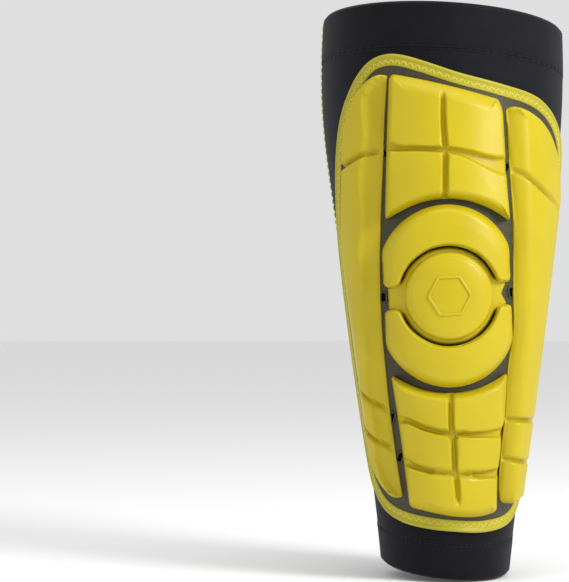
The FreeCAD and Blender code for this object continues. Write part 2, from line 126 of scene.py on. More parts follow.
def makePiece(name, shell, material, body="front", uv=None):
    # one mesh object from points in millimetres; uv holds one pair per point
    points, faces = shell
    mesh = bpy.data.meshes.new(name)
    mesh.from_pydata((points * toMetres).tolist(), [], faces)
    if uv is not None:
        layer = mesh.uv_layers.new(name="cloth")
        index = np.zeros(len(mesh.loops), np.int32)
        mesh.loops.foreach_get("vertex_index", index)
        layer.data.foreach_set("uv", uv[index].astype(np.float32).ravel())
    mesh.polygons.foreach_set("use_smooth", np.ones(len(mesh.polygons), bool))
    mesh.materials.append(material)
    mesh.update()
    mesh.validate()
    piece = bpy.data.objects.new(name, mesh)
    bpy.context.scene.collection.objects.link(piece)
    if body:
        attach(piece, body)
    return piece


def standsFor(target):
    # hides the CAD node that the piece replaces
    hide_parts(target)


def arcPoints(radius, start, end, count, lift=0):
    # points on a circle about (0, lift) from one angle to another
    return [(radius * math.cos(a), lift + radius * math.sin(a)) for a in np.linspace(start, end, count)]


def outlineSamples(corners, radius, edgeCount=10, cornerCount=8):
    # every corner becomes a parabola through its two tangent points, every side a straight run;
    # gives samples x 2 and, for blending side values, the side before, the side after and the mix
    p = np.asarray(corners, float)
    n = len(p)
    before, after = np.roll(p, 1, 0) - p, np.roll(p, -1, 0) - p
    longBefore, longAfter = np.linalg.norm(before, axis=1), np.linalg.norm(after, axis=1)
    before, after = before / longBefore[:, None], after / longAfter[:, None]
    opening = np.arccos(np.clip((before * after).sum(1), -1, 1))
    wide = np.degrees(opening) > 148  # nearly straight corners are smoothed as far as their sides allow
    setback = np.where(wide, 1e3, radius / np.tan(opening / 2))
    setback = np.minimum(setback, 0.45 * np.minimum(longBefore, longAfter))[:, None]
    start, end = p + before * setback, p + after * setback
    t = ((np.arange(cornerCount) + 0.5) / cornerCount)[None, :, None]
    arcs = start[:, None] * (1 - t) ** 2 + 2 * p[:, None] * t * (1 - t) + end[:, None] * t ** 2
    w = ((np.arange(edgeCount) + 0.5) / edgeCount)[None, :, None]
    runs = end[:, None] * (1 - w) + np.roll(start, -1, 0)[:, None] * w
    both = np.concatenate([arcs, runs], 1).reshape(-1, 2)
    i = np.arange(n)
    sideBefore = np.concatenate([np.repeat(((i - 1) % n)[:, None], cornerCount, 1),
                                 np.repeat(i[:, None], edgeCount, 1)], 1).ravel()
    sideAfter = np.repeat(i, cornerCount + edgeCount)
    mix = np.concatenate([np.repeat(t[..., 0], n, 0), np.ones((n, edgeCount))], 1).ravel()
    return both, sideBefore, sideAfter, mix


def drawnIn(corners, widths):
    # each side moves inward by its own width, corners where the moved sides meet
    p, w = np.asarray(corners, float), np.asarray(widths, float)
    side = np.roll(p, -1, 0) - p
    side /= np.linalg.norm(side, axis=1)[:, None]
    inward = np.stack([-side[:, 1], side[:, 0]], 1)
    n0, n1, w0, w1 = np.roll(inward, 1, 0), inward, np.roll(w, 1), w
    cross = n0[:, 0] * n1[:, 1] - n0[:, 1] * n1[:, 0]
    safe = np.where(np.abs(cross) < 0.35, 1.0, cross)
    met = np.stack([(w0 * n1[:, 1] - w1 * n0[:, 1]) / safe, (w1 * n0[:, 0] - w0 * n1[:, 0]) / safe], 1)
    middle = n0 + n1
    even = middle * ((w0 + w1) / 2 / (middle ** 2).sum(1) * 2)[:, None]
    return p + np.where((np.abs(cross) < 0.35)[:, None], even, met)


def counterClockwise(corners, sides):
    # outlines run counterclockwise so that the inside is on the left
    p = np.asarray(corners, float)
    q = np.roll(p, -1, 0)
    if (p[:, 0] * q[:, 1] - p[:, 1] * q[:, 0]).sum() > 0:
        return p, sides
    return p[::-1], np.roll(sides[::-1], -1, axis=0)


def evenRun(points, count):
    # the same open path in equal steps
    run = np.concatenate([[0], np.cumsum(np.linalg.norm(np.diff(points, axis=0), axis=1))])
    at = np.linspace(0, run[-1], count)
    return np.stack([np.interp(at, run, points[:, k]) for k in range(points.shape[1])], 1)


def twoSided(loop, way, spacing):
    # the loop cut at its furthest points along way and against it, each side in the same number of steps
    first, last = (loop @ np.array(way)).argmax(), (loop @ np.array(way)).argmin()
    turned = np.roll(loop, -first, 0)
    cut = (last - first) % len(loop)
    sides = turned[:cut + 1], np.concatenate([turned[cut:], turned[:1]])
    longest = max(np.linalg.norm(np.diff(side, axis=0), axis=1).sum() for side in sides)
    count = int(longest / spacing) + 1
    return np.concatenate([evenRun(sides[0], count)[:-1], evenRun(sides[1], count)[:-1]])


def coverLoop(loop, shares, fan):
    # points inside a loop and the faces that cover it: copies shrinking to the middle, or rungs across
    count = len(loop)
    if fan:
        centre = loop.mean(0)
        inner = np.concatenate([(centre + (loop - centre) * k) for k in shares[::-1]] + [centre[None]])
        ids = np.arange((len(shares) + 1) * count).reshape(-1, count)
        onward = np.roll(ids, -1, 1)
        faces = np.stack([ids[:-1], onward[:-1], onward[1:], ids[1:]], -1).reshape(-1, 4).tolist()
        return inner, faces + [[int(x), int(y), ids.size] for x, y in zip(ids[-1], onward[-1])]
    half = count // 2
    left, right = loop[1:half], loop[:half:-1]
    inner = left[:, None] + (right - left)[:, None] * shares[None, :, None]
    ids = np.concatenate([np.arange(1, half)[:, None],
                          count + np.arange(inner[..., 0].size).reshape(half - 1, -1),
                          np.arange(count - 1, half, -1)[:, None]], 1)
    faces = np.stack([ids[:-1, :-1], ids[1:, :-1], ids[1:, 1:], ids[:-1, 1:]], -1).reshape(-1, 4).tolist()
    faces += [[0, int(x), int(y)] for x, y in zip(ids[0, :-1], ids[0, 1:])]
    faces += [[half, int(y), int(x)] for x, y in zip(ids[-1, :-1], ids[-1, 1:])]
    return inner.reshape(-1, 2), faces


def fieldShell(loop, map3d, height, foot, shares, fan=False, thin=0.9):
    # a closed solid over an outline: wall from foot to the edge of the height field, the field, a flat
    # underside
    count = len(loop)
    inner, faces = coverLoop(loop, shares, fan)
    flat = np.concatenate([loop, inner])
    total = len(flat)
    upper = [[k + total for k in f] for f in faces]
    wall = [[i, (i + 1) % count, (i + 1) % count + total, i + total] for i in range(count)]
    level = np.concatenate([np.full(total, foot), np.maximum(height(flat), foot + thin)])
    return map3d(np.concatenate([flat, flat]), level), [f[::-1] for f in faces] + upper + wall


def nearestTo(flat, points):
    # distance from each place to the nearest of the points, and which one it is
    away, which = np.empty(len(flat)), np.empty(len(flat), int)
    for start in range(0, len(flat), 4000):
        part = flat[start:start + 4000]
        square = ((part[:, None] - points[None]) ** 2).sum(-1)
        which[start:start + 4000] = square.argmin(1)
        away[start:start + 4000] = np.sqrt(square.min(1))
    return away, which


def smoothStep(t):
    # t squared times (3 - 2 t), held between 0 and 1
    t = np.clip(t, 0, 1)
    return t * t * (3 - 2 * t)


def grooveDepth(flat, lines):
    # each line holds rows (across, height, depth, half width); depth fades out over the groove's sloping
    # sides
    deepest = np.zeros(len(flat))
    for line in lines:
        path = evenRun(np.array(line, float), 120)
        away, which = nearestTo(flat, path[:, :2])
        depth, half = path[which, 2], path[which, 3]
        slope = 1.0 + 0.25 * half
        deepest = np.maximum(deepest, depth * (1 - smoothStep((away - half + slope / 2) / slope)))
    return deepest


def padField(outline, top, grooves, power=1.0, crown=0.3, limit=None):
    # plateau height less the bevel, which drops by (1 - distance / width) ^ power towards the outline,
    # less grooves
    loop, bevels = outline

    def height(flat):
        away, which = nearestTo(flat, loop)
        width, drop = bevels[which, 0], bevels[which, 1]
        t = np.clip(away / width, 0, 1)
        rounded = t if power == 1.0 else 1 - (1 - t) ** (1 / power)
        edge = 0.9 * np.clip(1 - away / 0.8, 0, 1) ** 2
        body = drop * (1 - rounded) - 0.35 * np.minimum(drop,
                                                        3) * np.sin(math.pi * np.clip(rounded, 0,
                                                                                      1)) * (power <= 1)
        level = top + crown * smoothStep(away / 16) - body - edge
        level = level - grooveDepth(flat, grooves) * smoothStep(away / 0.8 + 0.6)
        return np.minimum(level, limit(flat)) if limit else level
    return height


def padOutline(rows, radius, spacing=0.7):
    # rows (across, height, width, drop): a smooth loop, and at each of its points the bevel of the side it
    # is on
    rows = np.array(rows, float)
    corners, sides = counterClockwise(rows[:, :2], rows[:, 2:])
    loop, before, after, mix = outlineSamples(corners, radius, 40, 24)
    bevels = sides[before] * (1 - mix)[:, None] + sides[after] * mix[:, None]
    closed = np.concatenate([np.concatenate([loop, bevels], 1), np.concatenate([loop, bevels], 1)[:1]])
    length = np.linalg.norm(np.diff(closed[:, :2], axis=0), axis=1).sum()
    even = evenRun(closed, int(length / spacing))[:-1]
    return even[:, :2], even[:, 2:]


def tubeLoop(rows, map3d):
    # a closed profile (rows) carried round a closed path (samples of each row)
    flat = np.stack([r[0] for r in rows])
    level = np.stack([np.broadcast_to(r[1], len(r[0])) for r in rows])
    return map3d(flat, level).reshape(-1, 3), gridFaces(len(rows), len(rows[0][0]), True, True)


def stitchRods(start, end, outward, radius, sink):
    # one rod per stitch: five rings of six points, thin and sunk at both ends
    along = end - start
    side = np.cross(along, outward)
    side /= np.linalg.norm(side, axis=1)[:, None]
    up = np.cross(side, along)
    up /= np.linalg.norm(up, axis=1)[:, None]
    t = np.array([0.0, 0.14, 0.5, 0.86, 1.0])
    fat = np.array([0.35, 0.9, 1.0, 0.9, 0.35]) * radius
    dip = -sink * (2 * t - 1) ** 4
    turn = np.arange(6) * math.pi / 3
    ring = fat[None, :, None, None] * (np.cos(turn)[None, None, :, None] * up[:, None, None]
                                       + np.sin(turn)[None, None, :, None] * side[:, None, None])
    core = start[:, None, None] + along[:, None, None] * t[None, :, None, None]
    points = core + ring + up[:, None, None] * dip[None, :, None, None]
    one = np.array(gridFaces(5, 6, False, True))
    count = len(start)
    faces = (one[None] + (np.arange(count) * 30)[:, None, None]).reshape(-1, 4).tolist()
    caps = np.array([[5, 4, 3, 2, 1, 0], [24, 25, 26, 27, 28, 29]])
    faces += (caps[None] + (np.arange(count) * 30)[:, None, None]).reshape(-1, 6).tolist()
    return points.reshape(-1, 3), faces


def newMaterial(name, colour, rough):
    # one Principled shader with a flat colour and roughness
    material = bpy.data.materials.new(name)
    material.use_nodes = True
    tree = material.node_tree
    shader = tree.nodes["Principled BSDF"]
    shader.inputs["Base Color"].default_value = (*colour, 1)
    shader.inputs["Roughness"].default_value = rough
    return material, tree, shader


def node(tree, kind, **values):
    # a shader node with its sockets or settings filled in
    made = tree.nodes.new("ShaderNode" + kind)
    for key, value in values.items():
        if key in made.inputs:
            made.inputs[key].default_value = value
        elif hasattr(made, key):
            setattr(made, key, value)
        else:
            made.inputs[key.replace("_", " ")].default_value = value
    return made


def mottled(tree, shader, place, scale, colourA, colourB, detail=4.0):
    # two close colours mixed by soft noise
    noise = node(tree, "TexNoise", Scale=scale, Detail=detail)
    ramp = node(tree, "ValToRGB")
    ramp.color_ramp.elements[0].position, ramp.color_ramp.elements[1].position = 0.3, 0.7
    ramp.color_ramp.elements[0].color, ramp.color_ramp.elements[1].color = (*colourA, 1), (*colourB, 1)
    tree.links.new(place, noise.inputs["Vector"])
    tree.links.new(noise.outputs["Fac"], ramp.inputs["Fac"])
    tree.links.new(ramp.outputs["Color"], shader.inputs["Base Color"])
    return noise


def bumped(tree, shader, heightSocket, strength, distance):
    # the height socket tilts the normal
    bump = node(tree, "Bump", Strength=strength, Distance=distance)
    tree.links.new(heightSocket, bump.inputs["Height"])
    tree.links.new(bump.outputs["Normal"], shader.inputs["Normal"])
    return bump


filmLook = {"colour": (0.50, 0.395, 0.004), "deeper": (0.46, 0.36, 0.003), "rough": 0.36, "grain": 2600.0,
            "grainDepth": 0.00003}


def moulded(name, look):
    # satin moulded film: faint cloudiness, very fine grain
    material, tree, shader = newMaterial(name, look["colour"], look["rough"])
    place = node(tree, "TexCoord").outputs["Object"]
    mottled(tree, shader, place, 38.0, look["deeper"], look["colour"])
    grain = node(tree, "TexNoise", Scale=look["grain"], Detail=2.0)
    tree.links.new(place, grain.inputs["Vector"])
    bumped(tree, shader, grain.outputs["Fac"], 0.35, look["grainDepth"])
    shader.inputs["Subsurface Weight"].default_value = 0.06
    shader.inputs["Subsurface Radius"].default_value = (0.002, 0.0015, 0.0005)
    shader.inputs["Specular IOR Level"].default_value = 0.32
    return material


padFilm = moulded("padFilm", filmLook)
borderFilm = moulded("borderFilm", {**filmLook, "colour": (0.42, 0.37, 0.022), "deeper": (0.37, 0.33, 0.018),
                                    "rough": 0.42})

knitLook = {"colour": (0.0045, 0.0045, 0.0068), "lighter": (0.006, 0.006, 0.009), "wale": 0.85, "course": 0.6}


def knitted(name, look):
    # fine ribs up the leg crossed by rows of stitches, drawn in the cloth's own millimetres
    material, tree, shader = newMaterial(name, look["colour"], 0.62)
    cloth = node(tree, "UVMap", uv_map="cloth").outputs["UV"]
    mottled(tree, shader, cloth, 0.09, look["colour"], look["lighter"], 3.0)
    wale = node(tree, "TexWave", Scale=math.pi / 10 / look["wale"], Distortion=0.6, Detail=1.0)
    course = node(tree, "TexWave", Scale=math.pi / 10 / look["course"], Distortion=0.8, Detail=1.0)
    course.bands_direction = "Y"
    both = node(tree, "Math", operation="MULTIPLY_ADD")
    both.inputs[1].default_value = 0.6
    tree.links.new(cloth, wale.inputs["Vector"])
    tree.links.new(cloth, course.inputs["Vector"])
    tree.links.new(course.outputs["Fac"], both.inputs[0])
    tree.links.new(wale.outputs["Fac"], both.inputs[2])
    bumped(tree, shader, both.outputs["Value"], 0.5, 0.00012)
    shader.inputs["Sheen Weight"].default_value = 0.06
    shader.inputs["Specular IOR Level"].default_value = 0.1
    shader.inputs["Sheen Roughness"].default_value = 0.45
    shader.inputs["Sheen Tint"].default_value = (0.5, 0.52, 0.62, 1)
    return material


knitCloth = knitted("knitCloth", knitLook)


def woven(name, colour, darker, scale):
    # crossed threads, half a millimetre apart, with a dull gloss
    material, tree, shader = newMaterial(name, colour, 0.5)
    cloth = node(tree, "UVMap", uv_map="cloth").outputs["UV"]
    warp = node(tree, "TexWave", Scale=scale)
    weft = node(tree, "TexWave", Scale=scale)
    weft.bands_direction = "Y"
    cross = node(tree, "Math", operation="MULTIPLY")
    ramp = node(tree, "ValToRGB")
    ramp.color_ramp.elements[0].color, ramp.color_ramp.elements[1].color = (*darker, 1), (*colour, 1)
    tree.links.new(cloth, warp.inputs["Vector"])
    tree.links.new(cloth, weft.inputs["Vector"])
    tree.links.new(warp.outputs["Fac"], cross.inputs[0])
    tree.links.new(weft.outputs["Fac"], cross.inputs[1])
    tree.links.new(cross.outputs["Value"], ramp.inputs["Fac"])
    tree.links.new(ramp.outputs["Color"], shader.inputs["Base Color"])
    bumped(tree, shader, cross.outputs["Value"], 0.6, 0.00015)
    return material


baseCloth = woven("baseCloth", (0.085, 0.078, 0.026), (0.016, 0.015, 0.004), math.pi / 10 / 0.7)


def threadLook(name, colour, darker):
    # twisted thread: fine slanted stripes
    material, tree, shader = newMaterial(name, colour, 0.55)
    place = node(tree, "TexCoord").outputs["Object"]
    twist = node(tree, "TexWave", Scale=700.0, Distortion=2.0)
    twist.bands_direction = "DIAGONAL"
    ramp = node(tree, "ValToRGB")
    ramp.color_ramp.elements[0].color, ramp.color_ramp.elements[1].color = (*darker, 1), (*colour, 1)
    tree.links.new(place, twist.inputs["Vector"])
    tree.links.new(twist.outputs["Fac"], ramp.inputs["Fac"])
    tree.links.new(ramp.outputs["Color"], shader.inputs["Base Color"])
    bumped(tree, shader, twist.outputs["Fac"], 0.4, 0.0001)
    shader.inputs["Sheen Weight"].default_value = 0.04
    shader.inputs["Specular IOR Level"].default_value = 0.2
    return material


limeThread = threadLook("limeThread", (0.62, 0.66, 0.07), (0.42, 0.45, 0.035))
borderThread = threadLook("borderThread", (0.74, 0.66, 0.09), (0.55, 0.47, 0.04))
darkThread = threadLook("darkThread", (0.008, 0.008, 0.011), (0.004, 0.004, 0.006))

foamCore, foamTree, foamShader = newMaterial("foamCore", (0.09, 0.09, 0.085), 0.85)
foamPlace = node(foamTree, "TexCoord").outputs["Object"]
foamCells = node(foamTree, "TexVoronoi", Scale=1400.0)
foamTree.links.new(foamPlace, foamCells.inputs["Vector"])
bumped(foamTree, foamShader, foamCells.outputs["Distance"], 0.5, 0.0002)
mottled(foamTree, foamShader, foamPlace, 90.0, (0.075, 0.075, 0.07), (0.1, 0.1, 0.095))
print("materials")

sleeve = {"wall": 0.9, "fold": 0.9, "topFold": 21.0, "ankleFold": 16.0, "hemSwell": 0.22, "seamRidge": 0.3,
          "seamReach": 1.9}
lateralSeam = cubicThrough([-15, 5, 60, 95, 131, 165, 200, 285], [26, 26, 31, 36.5, 40.5, 40.5, 39.5, 40])
medialSeam = cubicThrough([-15, 5, 60, 95, 135, 165, 200, 285], [16, 16, 20, 20, 19, 23, 28, 33])


def seamAngle(seam, z, side):
    # the seam lies at a known depth y, and y = back - deep cos(angle)
    return side * np.arccos(np.clip((backAt(z) - seam(z)) / deepAt(z), -1, 1))


def cutHeight(angle, cut, z):
    # height of a slanted cut at that angle, by three rounds of substitution
    for _ in range(4):
        p = legPoint(angle, z, 0.0)
        z = cut["lift"] + cut["alongY"] * p[..., 1] + cut["alongX"] * p[..., 0]
    return z


def hemBump(low, high):
    # the folded hems stand a little proud and the stitch lines pull in
    up = sleeve["hemSwell"] * (1 / (1 + np.exp((high - sleeve["topFold"]) / 0.8))
                               + 1 / (1 + np.exp((low - sleeve["ankleFold"]) / 0.8)))
    return up - 0.28 * (np.exp(-((high - sleeve["topFold"]) / 0.9) ** 2)
                        + np.exp(-((low - sleeve["ankleFold"]) / 0.9) ** 2))


def panelShell(fromSeam, toSeam, columns):
    # profile up the outside, over the folded edge, down the inside; carried from one seam to the other
    outside = np.concatenate([np.linspace(0, 0.1, 22), np.linspace(0.11, 0.88, 60),
                              np.linspace(0.885, 1, 24)])
    u = np.linspace(0, 1, columns)[:, None]
    v = outside[None]
    rough = 4 + 250 * v
    angle = fromSeam(rough) + (toSeam(rough) - fromSeam(rough)) * u
    for _ in range(3):
        low, high = cutHeight(angle, ankleCut, 4.0 + 0 * angle), cutHeight(angle, calfCut, 258.0 + 0 * angle)
        z = low + (high - low) * v
        angle = fromSeam(z) + (toSeam(z) - fromSeam(z)) * u
    fromLow, fromHigh = z - low, high - z
    ridge = np.minimum(u, 1 - u) * np.abs(toSeam(z) - fromSeam(z)) * (halfAt(z) + deepAt(z)) / 2
    folds = 0.16 * np.sin(angle * 3 + z * 0.021) * np.sin(z * 0.035 + angle * 2)
    seam = sleeve["seamRidge"] * np.exp(-(ridge / sleeve["seamReach"]) ** 4)
    outer = hemBump(fromLow, fromHigh) + folds + seam
    turned = np.maximum(1 / (1 + np.exp((fromHigh - sleeve["topFold"]) / 0.4)),
                        1 / (1 + np.exp((fromLow - sleeve["ankleFold"]) / 0.4)))
    inner = -sleeve["wall"] - sleeve["fold"] * turned + folds
    round0 = np.minimum(fromLow, fromHigh) / 0.9
    bulge = np.sqrt(np.clip(1 - (1 - np.clip(round0, 0, 1)) ** 2, 0, 1))
    middle = (outer + inner) / 2
    outer, inner = middle + (outer - middle) * bulge, middle + (inner - middle) * bulge
    front = legPoint(angle, z, outer)
    back = legPoint(angle, z, inner)
    rows = len(outside)
    ring = np.concatenate([front, back[:, -2:0:-1]], 1)
    around = ring.shape[1]
    faces = gridFaces(columns, around, False, True)
    wrap = np.concatenate([np.arange(rows), np.arange(rows - 2, 0, -1)])
    pairs = np.stack([np.arange(1, rows - 1), around - np.arange(1, rows - 1)], 1)
    for base, flip in ((0, False), ((columns - 1) * around, True)):
        cap = [[base + int(a[0]), base + int(a[1]), base + int(b[1]), base + int(b[0])]
               for a, b in zip(pairs[:-1], pairs[1:])]
        cap.append([base, base + around - 1, base + 1])
        cap.append([base + rows - 1, base + rows - 2, base + rows])
        faces += [f[::-1] for f in cap] if flip else cap
    cloth = np.stack([angle * (halfAt(z) + deepAt(z)) / 2, z], -1)[:, wrap]
    faces = [f[::-1] for f in faces]
    return (ring.reshape(-1, 3), faces), cloth.reshape(-1, 2)


frontShell, frontCloth = panelShell(lambda z: seamAngle(medialSeam, z, -1),
                                    lambda z: seamAngle(lateralSeam, z, 1), 150)
backShell, backCloth = panelShell(lambda z: seamAngle(lateralSeam, z, 1),
                                  lambda z: 2 * math.pi + seamAngle(medialSeam, z, -1), 120)
frontPanel = makePiece("sleeveFrontPanel", frontShell, knitCloth, "front", frontCloth)
standsFor("sleeve_front_panel")
backPanel = makePiece("sleeveBackPanel", backShell, knitCloth, None, backCloth)
standsFor("sleeve_back_panel")
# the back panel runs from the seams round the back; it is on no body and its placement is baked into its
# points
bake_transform(backPanel)
print("sleeve panels")


def seamStitches(name, seam, side, node3d):
    # two rows of stitches, one each side of the seam line
    spots = np.arange(4.0, 256.0, 3.3)
    shells = []
    for shift in (-1.25, 1.25):
        low, high = spots, spots + 2.7
        ends = []
        for z in (low, high):
            angle = seamAngle(seam, z, side) + shift * side / ((halfAt(z) + deepAt(z)) / 2)
            bottom, top = cutHeight(angle, ankleCut, 4.0 + 0 * angle), cutHeight(angle, calfCut,
                                                                                 258 + 0 * angle)
            ends.append((angle, np.clip(z, bottom + 0.4, top - 0.4)))
        keep = ends[1][1] - ends[0][1] > 1.5
        a = legPoint(ends[0][0], ends[0][1], 0.42)[keep]
        b = legPoint(ends[1][0], ends[1][1], 0.42)[keep]
        outward = legPoint(ends[0][0], ends[0][1], 3.0)[keep] - a
        shells.append(stitchRods(a, b, outward, 0.4, 0.3))
    piece = makePiece(name, joined(shells), limeThread)
    standsFor(node3d)


seamStitches("lateralSeamStitches", lateralSeam, 1, "lateral_seam_stitching")
seamStitches("medialSeamStitches", medialSeam, -1, "medial_seam_stitching")


def hemStitches(name, cut, fold, span, node3d, body):
    # two close rows of small stitches round a hem, from one seam to the other
    step = 3.4 / 45
    angle = np.arange(span[0] + 0.07, span[1] - 0.07, step)
    shells = []
    for shift in (-0.55, 0.55):
        ends = []
        for t in (angle, angle + step * 0.78):
            z = cutHeight(t, cut, 4.0 if fold > 0 else 258.0 + 0 * t) + fold + shift
            ends.append(legPoint(t, z, 0.08))
        outward = ends[0] * [1, 1, 0]
        shells.append(stitchRods(ends[0], ends[1], outward, 0.2, 0.12))
    piece = makePiece(name, joined(shells), darkThread, body)
    standsFor(node3d)
    return piece


topSeams = (float(seamAngle(medialSeam, 236.0, -1)), float(seamAngle(lateralSeam, 230.0, 1)))
lowSeams = (float(seamAngle(medialSeam, 20.0, -1)), float(seamAngle(lateralSeam, 20.0, 1)))
fullTurn = 2 * math.pi
hemStitches("calfHemStitchesFront", calfCut, -sleeve["topFold"], topSeams, "top_hem_stitching_front", "front")
hemStitches("ankleHemStitchesFront", ankleCut, sleeve["ankleFold"], lowSeams, "bottom_hem_stitching_front",
            "front")
for name, cut, fold, seams, target in (
        ("calfHemStitchesBack", calfCut, -sleeve["topFold"], topSeams, "top_hem_stitching_back"),
        ("ankleHemStitchesBack", ankleCut, sleeve["ankleFold"], lowSeams, "bottom_hem_stitching_back")):
    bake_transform(hemStitches(name, cut, fold, (seams[1], fullTurn + seams[0]), target, None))
print("seams and hems")

lateralEdge = [(6, 229.2), (24, 225), (40, 221.4), (50, 217.6), (60, 211.5), (69, 203.5), (76, 193),
               (80, 180),
               (84, 160), (87, 135), (90, 112), (91, 90), (89, 70), (84, 52), (76, 39), (63, 28.4),
               (48, 23.8),
               (26, 22.1), (4, 22.7)]
medialEdge = [(-4, 232.4), (-12, 235.2), (-22, 238.2), (-30, 238.8), (-38, 236.4), (-45, 230.6), (-52, 221.6),
              (-59, 210), (-66, 193), (-73, 173), (-80, 152), (-84, 133), (-87, 112), (-87, 92), (-85, 74),
              (-82, 58), (-76, 44), (-61, 32.4), (-42, 26.7), (-20, 24.1)]


def arcStep(angle, z):
    # millimetres round the leg per radian
    return np.hypot(halfAt(z) * np.cos(angle), deepAt(z) * np.sin(angle))


def closedCurve(points, count):
    # Catmull-Rom through the points, then even steps along its length on the leg
    p = np.asarray(points, float) * [math.pi / 180, 1]
    t = np.linspace(0, 1, 24, endpoint=False)[None, :, None]
    a, b, c, d = (np.roll(p, k, 0)[:, None] for k in (1, 0, -1, -2))
    curve = 0.5 * (2 * b + (c - a) * t + (2 * a - 5 * b + 4 * c - d) * t ** 2
                   + (3 * b - a - 3 * c + d) * t ** 3)
    curve = curve.reshape(-1, 2)
    onward = np.roll(curve, -1, 0) - curve
    length = np.hypot(onward[:, 0] * arcStep(curve[:, 0], curve[:, 1]), onward[:, 1])
    run = np.concatenate([[0], np.cumsum(length)])
    loop = np.concatenate([curve, curve[:1]])
    at = np.linspace(0, run[-1], count, endpoint=False)
    return np.stack([np.interp(at, run, loop[:, k]) for k in (0, 1)], 1), run[-1]


def edgeIn(loop, inset):
    # the loop moved inward by inset millimetres on the leg surface
    scale = arcStep(loop[:, 0], loop[:, 1])
    ahead = np.roll(loop, -3, 0) - np.roll(loop, 3, 0)
    du, dz = ahead[:, 0] * scale, ahead[:, 1]
    long = np.hypot(du, dz)
    return loop + np.stack([dz / long * inset / scale, -du / long * inset], 1)


def onLeg(flat, over):
    # angle and height straight onto the leg form
    return legPoint(flat[..., 0], flat[..., 1], over)


padEdge, padRound = closedCurve(lateralEdge + medialEdge[::-1], 520)

border = {"profile": [(0.05, 0.7), (-0.05, 1.3), (0.15, 1.8), (0.6, 2.12), (1.15, 2.1), (1.6, 1.85),
                      (1.95, 1.62),
                      (2.6, 1.55), (3.6, 1.52), (4.6, 1.55), (5.0, 1.5), (5.3, 1.3), (5.4, 0.9), (4.5, 0.75),
                      (2.7, 0.7)]}
borderPiece = makePiece("borderFlange", tubeLoop([(edgeIn(padEdge, i), h) for i,
                                                  h in border["profile"]][::-1], onLeg),
                        borderFilm)
standsFor("border_flange")

zigzag = {"pitch": 1.72, "middle": 3.45, "swing": 1.0, "thread": 0.24, "over": 1.62}
steps = int(padRound / zigzag["pitch"] / 2) * 2
path = closedCurve(lateralEdge + medialEdge[::-1], steps)[0]
inward = np.stack([edgeIn(path, zigzag["middle"] - zigzag["swing"]),
                   edgeIn(path, zigzag["middle"] + zigzag["swing"])])
corner = inward[np.arange(steps) % 2, np.arange(steps)]
threadStart = onLeg(corner, zigzag["over"])
threadEnd = np.roll(threadStart, -1, 0)
lift = onLeg(corner, zigzag["over"] + 2) - threadStart
zigzagPiece = makePiece("borderZigzagStitches", stitchRods(threadStart, threadEnd, lift, zigzag["thread"],
                                                           0.22),
                        borderThread)
standsFor("border_zigzag_stitching")
print("border", round(padRound, 1), "mm round,", steps, "stitches")

base = {"top": 1.0, "bottom": 0.1, "inset": 0.9, "rings": 26}
vents = [(-29.6, 193.6, 35), (-30.2, 128.4, 0), (-26.4, 73.8, -15), (-22.6, 56.0, -18),
         (25.6, 187.2, -30), (27.4, 130.6, 5), (24.0, 68.6, 15), (22.0, 49.4, 15)]


def onFacing(facing):
    # a map from places on a facing plane to the leg form
    return lambda flat, over: facingPoint(flat, over, facing)


def slotLoop(x, z, lean, half, straight, count=28):
    # a slot outline: two half circles joined by straight sides, leaning by so many degrees
    turn = np.linspace(0, 2 * math.pi, count, endpoint=False)
    flat = np.stack([half * np.cos(turn), half * np.sin(turn) + np.sign(np.sin(turn) + 1e-9) * straight], 1)
    c, s = math.cos(math.radians(lean)), math.sin(math.radians(lean))
    return np.stack([x + flat[:, 0] * c - flat[:, 1] * s, z + flat[:, 0] * s + flat[:, 1] * c], 1)


def baseShell():
    # the pad outline filled by shrinking copies, front and back, with a low rim between them
    rim = [(edgeIn(padEdge, base["inset"]), base["bottom"]), (edgeIn(padEdge, base["inset"] - 0.1), 0.5),
           (edgeIn(padEdge, base["inset"]), base["top"])]
    flat = np.stack([r[0] for r in rim])
    level = np.repeat([[r[1]] for r in rim], len(padEdge), 1)
    count = len(padEdge)
    points = [onLeg(flat, level).reshape(-1, 3)]
    cloth = [np.stack([flat[..., 0] * 48, flat[..., 1]], -1).reshape(-1, 2)]
    faces = gridFaces(3, count, False, True)
    size = 3 * count
    for loop, height, ringStart, flip in ((flat[2], base["top"], 2 * count, False),
                                          (flat[0], base["bottom"], 0, True)):
        centre = loop.mean(0)
        shrink = np.linspace(1, 0, base["rings"] + 1)[1:-1]
        inner = centre + (loop - centre)[None] * shrink[:, None, None]
        points += [onLeg(inner, height).reshape(-1, 3), onLeg(centre[None], height)]
        cloth += [np.stack([inner[..., 0] * 48, inner[..., 1]], -1).reshape(-1, 2), centre[None] * [48, 1]]
        ring = np.concatenate([[ringStart + np.arange(count)],
                               size + np.arange((base["rings"] - 1) * count).reshape(-1, count)])
        nextOne = np.roll(ring, -1, 1)
        new = np.stack([ring[:-1], nextOne[:-1], nextOne[1:], ring[1:]], -1).reshape(-1, 4).tolist()
        centreId = size + (base["rings"] - 1) * count
        new += [[int(a), int(b), centreId] for a, b in zip(ring[-1], nextOne[-1])]
        size = centreId + 1
        faces += [f[::-1] for f in new] if flip else new
    return (np.concatenate(points), [f[::-1] for f in faces]), np.concatenate(cloth)


